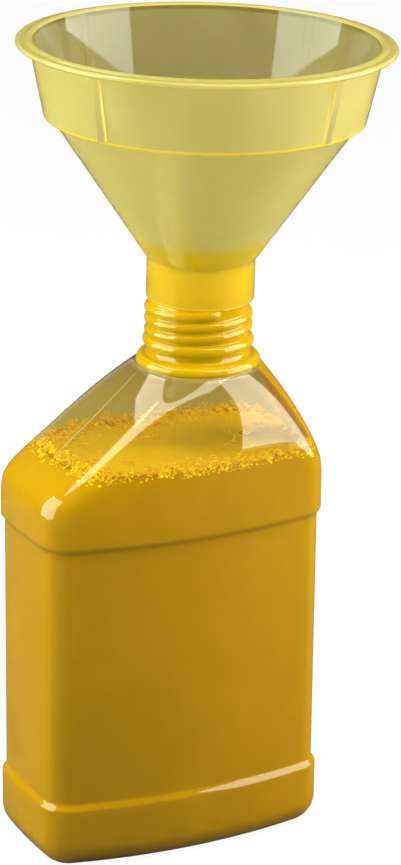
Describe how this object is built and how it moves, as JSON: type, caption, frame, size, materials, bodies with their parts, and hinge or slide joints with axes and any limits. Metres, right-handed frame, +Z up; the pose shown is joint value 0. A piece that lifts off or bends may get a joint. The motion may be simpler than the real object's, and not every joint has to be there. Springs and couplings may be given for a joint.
{
  "type": "motor oil bottle with funnel",
  "caption": "Clear flat oil bottle with an offset threaded neck, filled with opaque yellow oil, with a translucent pouring funnel slipped over its mouth.",
  "frame": {"origin": "on the neck's axis, in the plane that the bottle stands on", "axes": "+Z up along the neck; X along the wide faces, with the neck set towards +X of the body's middle; -Y faces the viewer of the picture"},
  "size_m": [0.1372, 0.1324, 0.2944],
  "materials": {
    "clear_plastic": "clear gloss",
    "yellow_oil": "opaque wet gloss",
    "oil_froth": "fine bubbles",
    "funnel_plastic": "translucent satin"
  },
  "bodies": {
    "root": {"bottle": "clear_plastic", "oil": "yellow_oil", "froth": "oil_froth", "oil_film": "yellow_oil", "funnel": "funnel_plastic"}
  },
  "joints": []
}
